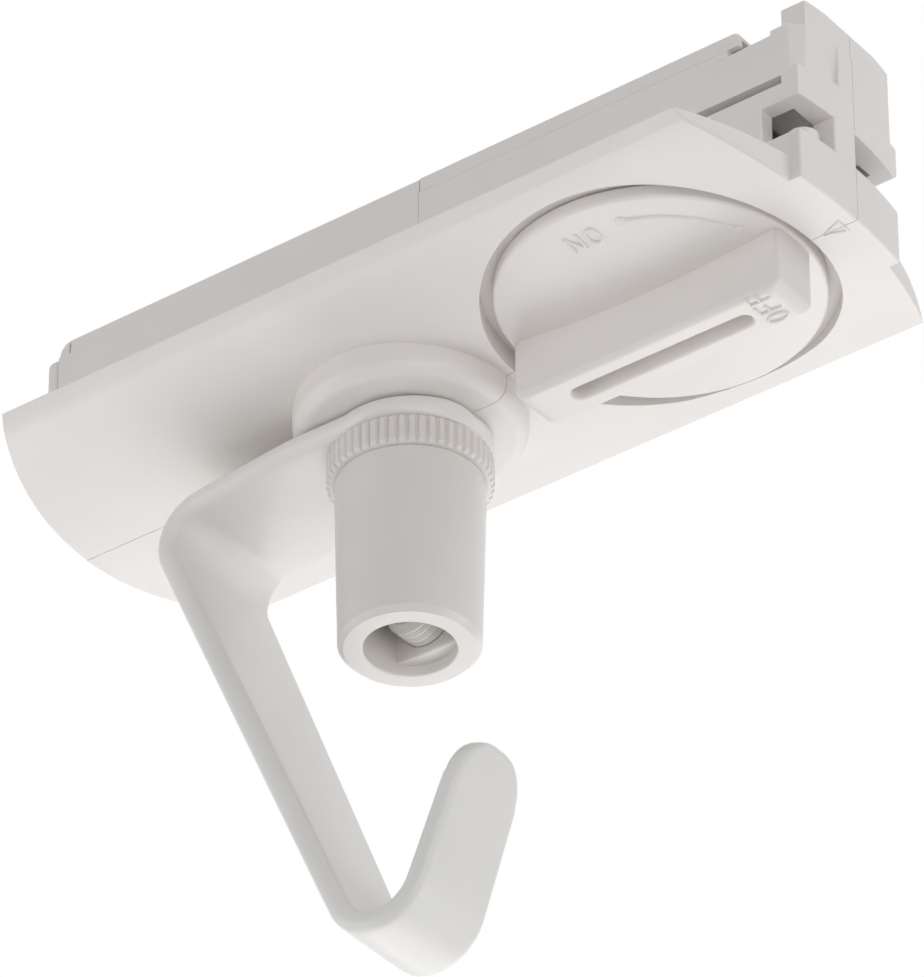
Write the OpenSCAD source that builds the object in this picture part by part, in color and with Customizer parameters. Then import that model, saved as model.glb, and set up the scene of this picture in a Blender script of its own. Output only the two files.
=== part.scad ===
// Track light adapter with a locking knob, a cord grip and a cord hook.
// Millimetres, +Z up. The origin lies in the middle of the skirt's upper face, which meets the track.
// X runs along the track towards the nose, and the near half of the housing is on the -Y side.

/* [Skirt] */
// Length of the skirt plate along its middle
skirt_length = 78.8; // [74:0.2:90]
// Width of the skirt plate
skirt_width = 36; // [34:0.5:40]
// Thickness of the skirt plate along its middle
skirt_depth = 2.9; // [2.6:0.1:3.6]
// Radius of the arched underside, seen from the end
arch_radius = 74; // [64:1:100]
// Slope of the narrow band along the near edge
near_band_angle = 38; // [32:1:46]
// Slope of the wide bevel along the far edge
far_bevel_angle = 19.6; // [17:0.2:23]
// Radius of the front end, seen from below
front_end_radius = 38; // [34:1:60]
// Radius of the rear end, seen from below
rear_end_radius = 33; // [31:1:60]
// Gap along the split between the two halves
split_gap = 0.1; // [0.06:0.02:0.2]

/* [Insert] */
// Width of the insert that enters the track
insert_width = 14.2; // [13.8:0.1:16]
// Thickness of the insert's walls
insert_wall = 1.6; // [1.3:0.1:1.9]
// Height of the insert's side walls above the track face
rim_height = 13.7; // [13.4:0.05:14.4]
// How far the sides of the caps stand in from the walls
cap_inset = 0.12; // [0.06:0.02:0.4]
// Height of the caps above the side walls
cap_rise = 1.55; // [1.5:0.05:2.2]
// Place of the seam between the front module and the rear cover
seam_x = 1.55; // [1.2:0.05:2.6]
// How far the nose stands beyond the skirt
nose_overhang = 1.1; // [0.6:0.1:1.6]
// Thickness of the wall at the nose
nose_wall = 2.2; // [1.8:0.1:2.6]
// Length of the post on top of the nose
post_length = 2.75; // [2:0.05:3]
// Width of the post
post_width = 12; // [10:0.1:12]
// Height of the post above the side walls
post_rise = 2.65; // [2:0.05:3.4]
// Gap between pieces that are fitted together
fit_gap = 0.05; // [0.02:0.01:0.1]

/* [Knob] */
// Distance from the skirt's front end to the knob's axis
knob_setback = 18.35; // [17.8:0.05:19.5]
// Radius of the round recess for the knob
recess_radius = 14.85; // [14.4:0.05:15.4]
// Radius of the knob's disc
knob_radius = 13.75; // [13:0.05:14.1]
// Depth of the knob's disc face below the track face, at its rim
knob_face_depth = 2.2; // [2:0.1:2.6]
// Rise of the disc's shallow dome from its rim to its middle
dome_rise = 0.95; // [0.6:0.05:1.2]
// Width of the bar grip across the disc
grip_width = 5; // [4.6:0.1:6.4]
// Height of the bar grip below the disc
grip_height = 5.9; // [5:0.1:7]
// Length of the slot in the bar grip
grip_slot_length = 17.9; // [14:0.1:20]
// Width of the slot in the bar grip
grip_slot_width = 1.5; // [1:0.1:2]

/* [Mechanism] */
// Radius of the rotor's drum
drum_radius = 3.4; // [3.2:0.05:3.6]
// Thickness of the locking plate
lug_thickness = 1.2; // [1:0.1:1.4]
// Reach of the locking lugs from the axis
lug_reach = 12.5; // [11:0.1:13]
// Width of the locking lugs
lug_width = 7; // [6:0.1:8]
// Thickness of the contact blades
blade_thickness = 0.6; // [0.5:0.05:0.7]
// Reach of the contact blades from the axis
blade_reach = 11.4; // [10:0.1:11.6]
// Thickness of the feed and earth strips
strip_thickness = 0.5; // [0.4:0.05:0.6]

/* [Stem] */
// Distance from the knob's axis to the stem's axis
stem_setback = 25.6; // [25:0.1:28]
// Radius of the round boss under the skirt
boss_radius = 9.9; // [9:0.1:10]
// Depth of the boss's face below the track face
boss_depth = 5.2; // [4.8:0.1:6]
// Outer radius of the threaded nipple
nipple_radius = 5; // [4.8:0.1:5.2]
// Bore radius of the nipple
nipple_bore = 3.7; // [3:0.1:3.9]
// Radius of the knurled ring nut
nut_radius = 7; // [6.8:0.1:8]
// Height of the ring nut
nut_height = 2.75; // [2.4:0.05:4]
// Number of grooves in the ring nut
nut_grooves = 52; // [36:2:60]

/* [Cord grip] */
// Length of the cord grip below the ring nut
grip_length = 16.1; // [15.5:0.1:20]
// Radius of the cord grip at its top
grip_top_radius = 6.35; // [6.2:0.05:7]
// Radius of the cord grip at its mouth
grip_mouth_radius = 5.95; // [5.8:0.05:6.2]
// Bore radius at the mouth, for the cord
cord_bore = 3.85; // [3.6:0.05:4.2]
// Radius of the nylon clamp screw
clamp_radius = 2.4; // [2:0.05:2.6]
// Height of the clamp screw's axis above the mouth
clamp_height = 4.1; // [3.8:0.1:5]

/* [Hook] */
// Thickness of the hook's strip
hook_thickness = 2.1; // [1.8:0.05:2.4]
// Width of the strip from the eye to the first bend
hook_width = 13.4; // [11:0.1:13.6]
// Width of the strip at the lower bend
hook_waist = 8.8; // [7:0.1:10]
// Width of the strip at its tip
hook_tip_width = 7.9; // [6:0.1:9]
// Straight length from the eye's centre to the crank
hook_flat = 7.6; // [7.4:0.1:9]
// Straight length from the crank to the first bend
hook_arm = 9.2; // [8:0.1:12]
// Depth of the hook's lower end below the track face
hook_drop = 55.3; // [50:0.1:62]
// Straight length of the tab that turns up
hook_tab = 13.4; // [12:0.1:18]
// Small downward crank beside the eye
hook_crank = 6; // [4:0.5:8]
// Slant of the leg from the vertical
leg_slant = 23; // [20:0.5:26]
// Slant of the tab from the vertical
tab_slant = 21; // [16:0.5:26]

/* [Hidden] */
$fn = 96;
eps = 0.01;
half_width = skirt_width/2;
front_x = skirt_length/2;
rear_x = -front_x;
nose_x = front_x + nose_overhang;
knob_x = front_x - knob_setback;
stem_x = knob_x - stem_setback;
insert_half = insert_width/2;
inner_half = insert_half - insert_wall;
cap_half = insert_half - cap_inset;
post_half = post_width/2;
cap_top = rim_height + cap_rise;
cap_wall = 1.5;
cap_corner = 1.4;
cap_front_corner = 0.6;
cap_setback = 6.35;
cavity_front = nose_x - nose_wall;

// Levels of the floor, the knob and the rotor
floor_under = -0.8;
floor_top = 0.8;
knob_gap = 0.2;
disc_top = floor_under - knob_gap;
grip_face = -knob_face_depth - grip_height;
hub_radius = 3.4;
washer_radius = 5.2;
washer_thickness = 0.45;
washer_z = floor_top + fit_gap;
flange_z = washer_z + washer_thickness;
flange_thickness = 1.2;
lug_z = flange_z + flange_thickness;
lug_window = 0.25;
earth_z = lug_z + lug_thickness + 0.15;
drum_top = 12;
drum_flat = drum_radius - 0.6;
journal_radius = 2.6;
journal_top = cap_top - cap_wall - 0.25;
stem_drive_radius = 2;
stem_drive_top = 7;
rotor_screw_radius = 1;
rotor_screw_head = 1.9;
rotor_screw_seat = journal_top - 1.5;

// Contact blades, their slots and the strips that feed them
blade_z = 7.8;
blade_width = 4.8;
blade_root = 1.9;
slot_gap = 0.12;
slot_reach = 17.2;
slot_rear_reach = 12.5;
wiper_thickness = 0.35;
wiper_radius = drum_radius + wiper_thickness;
wiper_top = blade_z + 3.4;
strip_y = wiper_radius + fit_gap;
strip_z = blade_z + 1.4;
strip_height = 2;

// Windows at the nose
window_floor = 2.5;
window_top = 6.05;
window_length = 4.35;
window_edge = 2.7;
far_window_depth = 3;
stud_radius = 1.3;
stud_setback = 2.1;
stud_y = -4.4;
stud_top = 3.8;
chamfer_z = 9;
nose_chamfer = 0.9;
post_setback = 0.15;
notch_rear = 7.45;
notch_front = 3.2;
notch_drop = 0.65;
groove_low_y = -2.9;
groove_high_y = -2;
groove_depth = 0.55;
groove_z = 9.55;

// Tongue at the rear and terminal block behind the stem
seat_depth = 0.3;
tongue_x = rear_x + 0.9;
tongue_thickness = 1;
tongue_top = rim_height - 0.25;
cover_rear = tongue_x + tongue_thickness + 0.1;
block_rear = cover_rear + 6.9;
block_length = 17.5;
block_front = block_rear + block_length;
block_half = inner_half - 0.1;
block_height = 8.6;
pole_pitch = 3.6;
clamp_width = 3;
clamp_wall = 0.35;
clamp_length = 8;
clamp_z = 3.35;
clamp_tall = 4.4;
clamp_open = 2.5;
clamp_x = block_front - clamp_length - 3.5;
pole_screw_radius = 1;
pole_screw_head = 1.25;
tail_z = clamp_z + clamp_wall + 0.2;
tail_end = clamp_x + 2;

// Screws that hold the two halves together, as [x, z] of their axes
screw_radius = 0.9;
screw_head_radius = 1.6;
screw_head_height = 1.2;
screw_boss_radius = 2.2;
screw_reach = inner_half - 1;
front_screws = [[seam_x + 2.7, 6.75], [cavity_front - 3.4, 10.6]];
rear_screw = [cover_rear + 3.9, screw_boss_radius - 2*seat_depth];

// Stem, nut, cord grip and hook
collar_radius = 7;
collar_thickness = 2;
collar_top = -1.4;
nipple_top = 1.5;
nipple_engagement = 6.5;
boss_round = 1.3;
hook_gap = 0.08;
eye_radius = nut_radius - 0.05;
eye_bore = nipple_radius + 0.08;
hook_top = -boss_depth - hook_gap;
hook_mid = hook_top - hook_thickness/2;
nut_top = hook_top - hook_thickness - hook_gap;
nut_bottom = nut_top - nut_height;
mouth_z = nut_bottom - grip_length;
nipple_bottom = nut_bottom - nipple_engagement;
thread_gap = 0.04;
clamp_axis_z = mouth_z + clamp_height;
clamp_flat = 2.3;
clamp_flat_floor = mouth_z + 1;
clamp_tip_y = -0.5;
clamp_length_y = 5.6;
clamp_slot_width = 0.8;
clamp_slot_depth = 1;
hook_round = 0.9;
crank_radius = 8;
bend_radius = 3.6;
waist_radius = 4;
arm_drop = crank_radius*(1 - cos(hook_crank)) + hook_arm*sin(hook_crank);
bend_drop = bend_radius*(sin(leg_slant) + cos(hook_crank));
waist_drop = waist_radius*(1 - sin(leg_slant)) + hook_thickness/2;
hook_leg = (hook_drop + hook_mid - arm_drop - bend_drop - waist_drop)/cos(leg_slant);

shell_white = "#E4E3E0";
hook_white = "#ECECEA";
nylon_white = "#EFEDE6";
steel_grey = "#B9BBBD";
brass_yellow = "#C9A655";
insulator_grey = "#8E9296";

// A box between two corners
module box(low, high) {
    translate(low) cube(high - low);
}

// A 2-D section drawn as [y, z], run along X from one place to another
module run_x(from, to) {
    translate([from, 0, 0]) rotate([90, 0, 90]) linear_extrude(to - from) children();
}

// A 2-D side view drawn as [x, z], run along Y from one place to another
module run_y(from, to) {
    translate([0, to, 0]) rotate([90, 0, 0]) linear_extrude(to - from) children();
}

// A round bar along Y
module bar_y(at, from, to, radius) {
    translate([at[0], from, at[1]]) rotate([-90, 0, 0]) cylinder(r = radius, h = to - from);
}

// A rectangle from corner to corner, with one rounded corner at the upper left or right
module rounded_top(low, high, radius, left, right) {
    difference() {
        translate(low) square(high - low);
        if (left) translate([low[0], high[1]]) corner_cut(radius, 1);
        if (right) translate([high[0], high[1]]) corner_cut(radius, -1);
    }
}

// What is cut from an upper corner to round it
module corner_cut(radius, direction) {
    difference() {
        translate([min(0, direction*radius) - (direction > 0 ? eps : 0), -radius])
            square([radius + eps, radius + eps]);
        translate([direction*radius, -radius]) circle(r = radius);
    }
}

// Cross-section of the skirt: an arch between a narrow near band and a wide far bevel
module skirt_section() {
    near_slope = tan(near_band_angle);
    far_slope = tan(far_bevel_angle);
    apex_y = half_width*(far_slope - near_slope)/(far_slope + near_slope);
    intersection() {
        translate([0, arch_radius - skirt_depth]) circle(r = arch_radius, $fn = 360);
        polygon([[-half_width, 0], [half_width, 0], [apex_y, -(apex_y + half_width)*near_slope]]);
    }
}

// Everything behind the front end's curve, moved out by a distance
module front_curve(out) {
    centre = front_x - front_end_radius;
    translate([0, 0, -skirt_depth - 1]) linear_extrude(30) {
        translate([centre, 0]) circle(r = front_end_radius + out, $fn = 360);
        translate([rear_x - 10, -half_width - 1]) square([centre - rear_x + 10, skirt_width + 2]);
    }
}

// Everything ahead of the rear end's curve
module rear_curve() {
    centre = rear_x + rear_end_radius;
    translate([0, 0, -skirt_depth - 1]) linear_extrude(30) {
        translate([centre, 0]) circle(r = rear_end_radius, $fn = 360);
        translate([centre, -half_width - 1]) square([nose_x + 10 - centre, skirt_width + 2]);
    }
}

module skirt() {
    intersection() {
        run_x(rear_x - 1, front_x + 1) skirt_section();
        front_curve(0);
        rear_curve();
    }
}

// Round boss that the hook is clamped against
module boss() {
    translate([stem_x, 0, 0]) rotate_extrude() {
        translate([0, -boss_depth]) square([boss_radius - boss_round, boss_depth - 1]);
        translate([0, -boss_depth + boss_round]) square([boss_radius, boss_depth - boss_round - 1]);
        translate([boss_radius - boss_round, -boss_depth + boss_round]) circle(r = boss_round);
    }
}

// Outside of the insert's front module and nose
module front_module() {
    intersection() {
        union() {
            box([seam_x, -insert_half, -eps], [nose_x, insert_half, rim_height]);
            box([nose_x - post_setback - post_length, -post_half, rim_height - 1],
                [nose_x - post_setback, post_half, rim_height + post_rise]);
        }
        front_curve(nose_overhang);
    }
    intersection() {
        run_x(knob_x, nose_x) skirt_section();
        box([knob_x, -insert_half, -skirt_depth - 1], [nose_x, insert_half, 0]);
        front_curve(nose_overhang);
    }
}

// Chamfer on the nose's upright corner, above the level of the windows
module nose_corner(side) {
    corner_x = nose_x - (front_end_radius - sqrt(pow(front_end_radius, 2) - pow(insert_half, 2)));
    translate([corner_x, side*insert_half, chamfer_z]) rotate([0, 0, side*45])
        translate([-nose_chamfer/sqrt(2), -2*insert_half, 0])
            cube([4*insert_half, 4*insert_half, rim_height - chamfer_z + eps]);
}

// Slots and windows of one side wall, where the blades and lugs swing out
module wall_slots(side) {
    outer = side*(insert_half + 1);
    inner = side*(inner_half - eps);
    low_y = min(outer, inner);
    high_y = max(outer, inner);
    box([knob_x - slot_rear_reach, low_y, blade_z - slot_gap],
        [knob_x + slot_reach, high_y, blade_z + blade_thickness + slot_gap]);
    swing = sqrt(pow(lug_reach, 2) + pow(lug_width/2, 2) - pow(inner_half, 2)) + 0.4;
    edge = lug_width/2 + 0.4;
    box([knob_x - (side < 0 ? swing : edge), low_y, lug_z - lug_window],
        [knob_x + (side < 0 ? edge : swing), high_y, lug_z + lug_thickness + lug_window]);
}

// Windows at the nose: an open corner on the near side, a ledge on the far side
module nose_windows(side) {
    if (side < 0)
        box([nose_x - window_length, -insert_half - 1, window_floor], [nose_x + 1, -window_edge, window_top]);
    else
        box([nose_x - far_window_depth, 0, window_floor], [nose_x + 1, insert_half + 1, window_top]);
}

// One half of the housing. The side is -1 for the near half and 1 for the far half
module half_shell(side) {
    low_y = side < 0 ? -half_width : split_gap/2;
    high_y = side < 0 ? -split_gap/2 : half_width;
    difference() {
        intersection() {
            union() {
                difference() {
                    union() {
                        skirt();
                        boss();
                        front_module();
                    }
                    box([seam_x - 1, -inner_half, floor_top], [cavity_front, inner_half, rim_height + 5]);
                }
                for (place = front_screws) bar_y(place, -inner_half - eps, inner_half + eps, screw_boss_radius);
                translate([nose_x - stud_setback, stud_y, 0]) cylinder(r = stud_radius, h = stud_top);
                run_y(-insert_half, insert_half)
                    rounded_top([tongue_x, -1], [tongue_x + tongue_thickness, tongue_top], 0.6, true, false);
            }
            box([rear_x - 1, low_y, -boss_depth - 1], [nose_x + 1, high_y, rim_height + 10]);
        }
        // Shallow seat for the rear cover and the terminal block
        box([tongue_x + tongue_thickness, -insert_half - fit_gap, -seat_depth],
            [seam_x, insert_half + fit_gap, 0.5]);
        // Round recess, bearing and stem seat
        translate([knob_x, 0, -skirt_depth - 5]) cylinder(r = recess_radius, h = skirt_depth + 5 + floor_under);
        translate([knob_x, 0, floor_under - 1]) cylinder(r = hub_radius + fit_gap, h = 4);
        translate([stem_x, 0, -boss_depth - 1])
            cylinder(r = nipple_radius + fit_gap, h = boss_depth + 3);
        translate([stem_x, 0, collar_top - collar_thickness - fit_gap])
            cylinder(r = collar_radius + fit_gap, h = collar_thickness + 2*fit_gap);
        wall_slots(side);
        difference() {
            nose_windows(side);
            translate([nose_x - stud_setback, stud_y, 0]) cylinder(r = stud_radius, h = stud_top);
        }
        nose_corner(side);
        // Guide groove on the near half of the nose, which runs out towards the top
        if (side < 0)
            run_y(groove_low_y, groove_high_y) polygon([
                [nose_x + 1, groove_z], [nose_x - groove_depth, groove_z],
                [nose_x - 0.1, rim_height + 0.2], [nose_x + 1, rim_height + 0.2]
            ]);
        // Lowered stretch of the side walls behind the post
        box([nose_x - notch_rear, -insert_half - 1, rim_height - notch_drop],
            [nose_x - notch_front, insert_half + 1, rim_height + 1]);
        // Holes for the front screws, with the heads sunk into the far half
        for (place = front_screws) screw_hole(place, insert_half, side);
    }
    // Rear screw boss, which stands on the seat
    difference() {
        intersection() {
            bar_y(rear_screw, -inner_half, inner_half, screw_boss_radius);
            box([rear_screw[0] - screw_boss_radius, low_y, -1.5*seat_depth],
                [rear_screw[0] + screw_boss_radius, high_y, rim_height]);
        }
        screw_hole(rear_screw, inner_half, side);
    }
}

module screw_hole(place, head_y, side) {
    bar_y(place, -screw_reach - 0.4, insert_half + 1, screw_radius + (side > 0 ? 0.1 : thread_gap));
    if (side > 0)
        bar_y(place, head_y - screw_head_height - 0.1, insert_half + 1, screw_head_radius + 0.1);
}

module near_half_shell() {
    color(shell_white) half_shell(-1);
}

module far_half_shell() {
    color(shell_white) half_shell(1);
}

// Pan-head screws across the split
module housing_screws() {
    color(steel_grey) {
        for (place = front_screws) housing_screw(place, insert_half);
        housing_screw(rear_screw, inner_half);
    }
}

module housing_screw(place, head_y) {
    seat = head_y - screw_head_height - 0.1;
    difference() {
        union() {
            bar_y(place, -screw_reach, seat, screw_radius);
            bar_y(place, seat, head_y - 0.1, screw_head_radius);
        }
        box([place[0] - screw_head_radius, head_y - 0.7, place[1] - 0.25],
            [place[0] + screw_head_radius, head_y + 1, place[1] + 0.25]);
    }
}

// Cover over the terminal block, between the tongue and the front module
module rear_cover() {
    front = seam_x - fit_gap;
    wall_inner = inner_half + 0.1;
    color(shell_white) difference() {
        union() {
            box([cover_rear, -insert_half, fit_gap - seat_depth], [front, insert_half, rim_height - 0.1]);
            run_y(-cap_half, cap_half)
                rounded_top([cover_rear, rim_height - 1], [front, cap_top - 0.1], cap_corner, true, false);
        }
        box([cover_rear + cap_wall, -wall_inner, -1], [front + 1, wall_inner, rim_height - 0.8]);
        box([cover_rear + cap_wall, -cap_half + cap_wall, -1],
            [front + 1, cap_half - cap_wall, cap_top - cap_wall]);
        box([cover_rear + 1.1, -insert_half - 1, rim_height],
            [cover_rear + 1.3, -cap_half + 0.4, cap_top - 0.5]);
    }
}

// Cap that closes the front module and carries the rotor's upper journal
module front_cap() {
    rear = seam_x + fit_gap;
    front = nose_x - cap_setback;
    plug_front = front_screws[1][0] - screw_boss_radius - 0.3;
    plug_wall = 0.6;
    color(shell_white) difference() {
        union() {
            run_y(-cap_half, cap_half)
                rounded_top([rear, rim_height], [front, cap_top], cap_front_corner, false, true);
            box([rear, -inner_half + fit_gap, rim_height - 0.9],
                [plug_front, inner_half - fit_gap, rim_height + eps]);
        }
        difference() {
            box([rear - 1, -inner_half + fit_gap + plug_wall, rim_height - 2],
                [plug_front - plug_wall, inner_half - fit_gap - plug_wall, rim_height]);
            translate([knob_x, 0, drum_top + 0.2]) cylinder(r = journal_radius + 1.5, h = 10);
        }
        translate([knob_x, 0, 0]) cylinder(r = journal_radius + fit_gap, h = cap_top - cap_wall);
        box([plug_front + eps, -cap_half + 0.5, rim_height - 1],
            [front + 1, cap_half - 0.5, rim_height + cap_rise/2]);
    }
}

// Section of the bar grip, with rounded lower edges
module grip_section() {
    edge = 0.6;
    half = grip_width/2;
    top = -knob_face_depth + eps;
    translate([-half, grip_face + edge]) square([grip_width, top - grip_face - edge]);
    translate([-half + edge, grip_face]) square([grip_width - 2*edge, edge + eps]);
    for (side = [-1, 1]) translate([side*(half - edge), grip_face + edge]) circle(r = edge);
}

// Knob: thin disc, bar grip with a slot, and a hub that runs up through the floor
module knob() {
    rim = 0.35;
    dome_radius = (pow(knob_radius - rim, 2) + pow(dome_rise, 2))/(2*dome_rise);
    color(shell_white) difference() {
        union() {
            translate([knob_x, 0, 0]) rotate_extrude() {
                translate([0, -knob_face_depth]) square([knob_radius - rim, disc_top + knob_face_depth]);
                translate([0, -knob_face_depth + rim]) square([knob_radius, disc_top + knob_face_depth - rim]);
                translate([knob_radius - rim, -knob_face_depth + rim]) circle(r = rim);
                intersection() {
                    translate([0, -knob_face_depth - dome_rise])
                        square([knob_radius - rim, dome_rise + eps]);
                    translate([0, dome_radius - knob_face_depth - dome_rise])
                        circle(r = dome_radius, $fn = 720);
                }
                translate([0, disc_top - eps]) square([hub_radius, flange_z - disc_top]);
            }
            intersection() {
                run_x(knob_x - knob_radius, knob_x + knob_radius) grip_section();
                translate([knob_x, 0, grip_face - 1]) cylinder(r = knob_radius - rim, h = grip_height + 2);
                run_y(-grip_width, grip_width) mirror([0, 1]) rounded_top(
                    [knob_x - knob_radius + rim, knob_face_depth - 1],
                    [knob_x + knob_radius - rim, -grip_face], 1.6, true, true);
            }
            difference() {
                translate([knob_x, 0, flange_z - 1])
                    cylinder(r = stem_drive_radius, h = stem_drive_top - flange_z + 1);
                box([knob_x + stem_drive_radius - 0.5, -3, flange_z], [knob_x + 3, 3, stem_drive_top + 1]);
            }
        }
        slot_half = (grip_slot_length - grip_slot_width)/2;
        translate([knob_x, 0, grip_face - 1]) linear_extrude(2.6) {
            square([2*slot_half, grip_slot_width], center = true);
            for (side = [-1, 1]) translate([side*slot_half, 0]) circle(d = grip_slot_width, $fn = 32);
        }
        translate([knob_x, 0, flange_z + 2]) cylinder(r = rotor_screw_radius + thread_gap, h = stem_drive_top);
    }
}

// Double-D section of the rotor's drum
module drum_section(gap) {
    intersection() {
        circle(r = drum_radius + gap);
        square([3*drum_radius, 2*(drum_flat + gap)], center = true);
    }
}

// Rotor that the knob's stem drives
module rotor() {
    color(insulator_grey) translate([knob_x, 0, 0]) difference() {
        union() {
            translate([0, 0, flange_z]) cylinder(r = washer_radius, h = flange_thickness);
            translate([0, 0, lug_z - eps]) linear_extrude(drum_top - lug_z + eps) drum_section(0);
            translate([0, 0, drum_top - eps]) cylinder(r = journal_radius, h = journal_top - drum_top);
        }
        difference() {
            translate([0, 0, flange_z - 1])
                cylinder(r = stem_drive_radius + fit_gap, h = stem_drive_top + fit_gap - flange_z + 1);
            box([stem_drive_radius - 0.5 + fit_gap, -3, flange_z - 2], [3, 3, stem_drive_top + 1]);
        }
        cylinder(r = rotor_screw_radius + 0.1, h = journal_top);
        translate([0, 0, rotor_screw_seat]) cylinder(r = rotor_screw_head + 0.1, h = journal_top);
        for (side = [-1, 1])
            box([side < 0 ? -drum_radius - 1 : blade_root - fit_gap,
                    -blade_width/2 - fit_gap, blade_z - fit_gap],
                [side < 0 ? -blade_root + fit_gap : drum_radius + 1, blade_width/2 + fit_gap,
                    blade_z + blade_thickness + fit_gap]);
    }
}

module rotor_screw() {
    head_height = 1.3;
    color(steel_grey) translate([knob_x, 0, 0]) difference() {
        union() {
            translate([0, 0, flange_z + 2.2])
                cylinder(r = rotor_screw_radius, h = rotor_screw_seat - flange_z - 2.2);
            translate([0, 0, rotor_screw_seat]) cylinder(r = rotor_screw_head, h = head_height);
        }
        box([-rotor_screw_head - 1, -0.25, rotor_screw_seat + head_height - 0.6],
            [rotor_screw_head + 1, 0.25, rotor_screw_seat + head_height + 1]);
    }
}

module friction_washer() {
    color(steel_grey) translate([knob_x, 0, washer_z]) difference() {
        cylinder(r = washer_radius, h = washer_thickness);
        translate([0, 0, -1]) cylinder(r = hub_radius + 0.2, h = washer_thickness + 2);
    }
}

// Steel plate with two lugs, which grips the track's lips and earths the adapter
module locking_plate() {
    hub = washer_radius - 0.2;
    tip = 1.5;
    color(steel_grey) translate([knob_x, 0, lug_z]) linear_extrude(lug_thickness) difference() {
        union() {
            circle(r = hub);
            square([2*(lug_reach - tip), lug_width], center = true);
            square([2*lug_reach, lug_width - 2*tip], center = true);
            for (side_x = [-1, 1], side_y = [-1, 1])
                translate([side_x*(lug_reach - tip), side_y*(lug_width/2 - tip)]) circle(r = tip);
        }
        drum_section(fit_gap);
    }
}

// Contact blade with an upright wiper that meets its feed strip when the knob is turned
module contact_blade(side) {
    tip = 1.2;
    wiper_spread = 25;
    color(brass_yellow) translate([knob_x, 0, blade_z]) rotate([0, 0, side > 0 ? 0 : 180]) {
        linear_extrude(blade_thickness) {
            translate([blade_root, -blade_width/2]) square([blade_reach - tip - blade_root, blade_width]);
            translate([blade_root, -blade_width/2 + tip])
                square([blade_reach - blade_root, blade_width - 2*tip]);
            for (edge = [-1, 1]) translate([blade_reach - tip, edge*(blade_width/2 - tip)]) circle(r = tip);
        }
        rotate([0, 0, -wiper_spread]) rotate_extrude(angle = 2*wiper_spread)
            translate([drum_radius + 0.02, 0]) square([wiper_thickness - 0.02, wiper_top - blade_z]);
    }
}

module live_blade() {
    contact_blade(1);
}

module neutral_blade() {
    contact_blade(-1);
}

// Flat brass strip from a wiper to its terminal
module feed_strip(side) {
    drop_x = block_front + 1;
    from = side > 0 ? strip_y : -strip_y - strip_thickness;
    color(brass_yellow) run_y(from, from + strip_thickness) {
        translate([drop_x, strip_z]) square([knob_x + 2.4 - drop_x, strip_height]);
        translate([drop_x, tail_z]) square([strip_height, strip_z + strip_height - tail_z]);
        translate([tail_end, tail_z]) square([drop_x + strip_height - tail_end, strip_height]);
    }
}

module live_feed_strip() {
    feed_strip(1);
}

module neutral_feed_strip() {
    feed_strip(-1);
}

// Earth strip that bears on the locking plate's hub
module earth_strip() {
    rise_x = block_front + 1.5;
    tail_level = tail_z + 1;
    color(brass_yellow) run_y(-1.1, 1.1) {
        translate([rise_x, earth_z]) square([knob_x - drum_radius - 0.4 - rise_x, strip_thickness]);
        translate([rise_x, earth_z]) square([strip_thickness, tail_level + strip_thickness - earth_z]);
        translate([tail_end, tail_level]) square([rise_x + strip_thickness - tail_end, strip_thickness]);
    }
}

// Three-pole terminal block
module terminal_block() {
    well_x = clamp_x + clamp_length/2;
    color(nylon_white) difference() {
        box([block_rear, -block_half, fit_gap - seat_depth], [block_front, block_half, block_height]);
        for (pole = [-1:1]) {
            box([clamp_x - fit_gap, pole*pole_pitch - clamp_width/2 - fit_gap, clamp_z - fit_gap],
                [block_front + 1, pole*pole_pitch + clamp_width/2 + fit_gap, clamp_z + clamp_tall + fit_gap]);
            translate([block_rear - 1, pole*pole_pitch, clamp_z + clamp_wall + clamp_open/2]) rotate([0, 90, 0])
                cylinder(r = 1.1, h = clamp_x - block_rear + 2);
            translate([well_x, pole*pole_pitch, clamp_z]) cylinder(r = pole_screw_head + 0.1, h = block_height);
        }
    }
}

// Brass cage clamps in the terminal block
module terminal_clamps() {
    well_x = clamp_x + clamp_length/2;
    color(brass_yellow) for (pole = [-1:1]) translate([0, pole*pole_pitch, 0]) difference() {
        box([clamp_x, -clamp_width/2, clamp_z], [clamp_x + clamp_length, clamp_width/2, clamp_z + clamp_tall]);
        box([clamp_x - 1, -clamp_width/2 + clamp_wall, clamp_z + clamp_wall],
            [clamp_x + clamp_length + 1, clamp_width/2 - clamp_wall, clamp_z + clamp_wall + clamp_open]);
        translate([well_x, 0, clamp_z + 1]) cylinder(r = pole_screw_radius + thread_gap, h = clamp_tall);
    }
}

module terminal_screws() {
    well_x = clamp_x + clamp_length/2;
    tip_z = tail_z + strip_height + 0.1;
    head_z = clamp_z + clamp_tall + 0.1;
    color(steel_grey) for (pole = [-1:1]) translate([well_x, pole*pole_pitch, 0]) difference() {
        union() {
            translate([0, 0, tip_z]) cylinder(r = pole_screw_radius, h = head_z - tip_z);
            translate([0, 0, head_z]) cylinder(r = pole_screw_head, h = 1.1);
        }
        box([-2, -0.2, head_z + 0.6], [2, 0.2, head_z + 2]);
    }
}

// Threaded nipple, held by its collar between the two halves
module nipple() {
    color(steel_grey) translate([stem_x, 0, 0]) difference() {
        union() {
            translate([0, 0, nipple_bottom]) cylinder(r = nipple_radius, h = nipple_top - nipple_bottom);
            translate([0, 0, collar_top - collar_thickness]) cylinder(r = collar_radius, h = collar_thickness);
        }
        translate([0, 0, nipple_bottom - 1]) cylinder(r = nipple_bore, h = nipple_top - nipple_bottom + 2);
    }
}

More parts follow.
